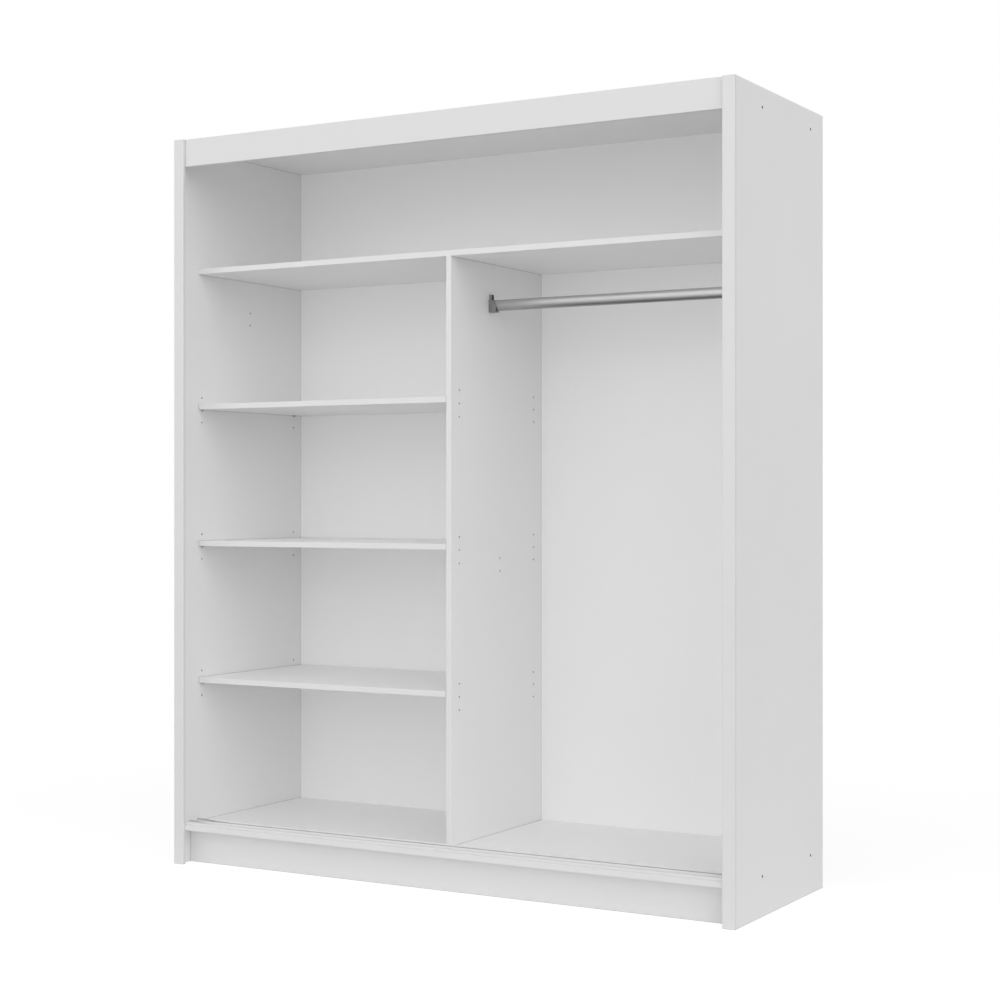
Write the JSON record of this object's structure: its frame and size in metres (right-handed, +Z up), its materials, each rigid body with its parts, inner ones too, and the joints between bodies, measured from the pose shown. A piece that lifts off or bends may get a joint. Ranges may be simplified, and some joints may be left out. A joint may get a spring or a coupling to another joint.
{
  "type": "sliding door wardrobe",
  "caption": "Open cabinet of a sliding door wardrobe, with a shelf bay, a hanging bay with an oval rail, a full-width top compartment and door tracks; no door leaves.",
  "frame": {"origin": "middle of the footprint, on the floor", "axes": "+X to the right of a person who faces the open front, +Y to the back, +Z up; the open front faces -Y"},
  "size_m": [1.8, 0.62, 2.15],
  "materials": {
    "white_laminate": "chipboard faced with white melamine, fine satin grain",
    "edge_band": "smooth satin plastic band, white",
    "back_board": "thin fibreboard with a smooth white face",
    "chrome": "polished",
    "dark_metal": "die-cast, dark grey, satin",
    "white_metal": "aluminium section with a white satin coat",
    "zinc_steel": "zinc-plated steel",
    "beech": "fluted beech, unfinished",
    "black_plastic": "black sleeve"
  },
  "bodies": {
    "carcass": {"back_nails": "zinc_steel", "bottom_panel": "white_laminate", "bottom_panel_edge": "edge_band", "bracket_screws": "zinc_steel", "cam_bolts": "zinc_steel", "cam_locks": "zinc_steel", "centre_divider": "white_laminate", "divider_edge": "edge_band", "divider_screws": "zinc_steel", "dowels": "beech", "front_plinth": "white_laminate", "header_fascia": "white_laminate", "left_back_sheet": "back_board", "left_front_strip": "white_laminate", "left_rail_bracket": "dark_metal", "left_side_panel": "white_laminate", "link_sleeves": "black_plastic", "lower_track": "white_metal", "plinth_rib": "white_laminate", "rear_plinth": "white_laminate", "right_back_sheet": "back_board", "right_front_strip": "white_laminate", "right_rail_bracket": "dark_metal", "right_side_panel": "white_laminate", "shelf_pins": "zinc_steel", "top_back_sheet": "back_board", "top_panel": "white_laminate", "top_shelf": "white_laminate", "top_shelf_edge": "edge_band", "track_screws": "zinc_steel", "upper_track": "white_metal"},
    "lower_shelf": {"lower_shelf": "white_laminate", "lower_shelf_edge": "edge_band"},
    "middle_shelf": {"middle_shelf": "white_laminate", "middle_shelf_edge": "edge_band"},
    "upper_shelf": {"upper_shelf": "white_laminate", "upper_shelf_edge": "edge_band"},
    "hanging_rail": {"hanging_rail": "chrome"}
  },
  "joints": [
    {"name": "lower_shelf_lift", "type": "slide", "parent": "carcass", "child": "lower_shelf", "axis": [0, 0, 1], "range_m": [0, 0.37]},
    {"name": "middle_shelf_lift", "type": "slide", "parent": "carcass", "child": "middle_shelf", "axis": [0, 0, 1], "range_m": [0, 0.37]},
    {"name": "upper_shelf_lift", "type": "slide", "parent": "carcass", "child": "upper_shelf", "axis": [0, 0, 1], "range_m": [0, 0.37]},
    {"name": "hanging_rail_lift", "type": "slide", "parent": "carcass", "child": "hanging_rail", "axis": [0, 0, 1], "range_m": [0, 0.09]}
  ]
}
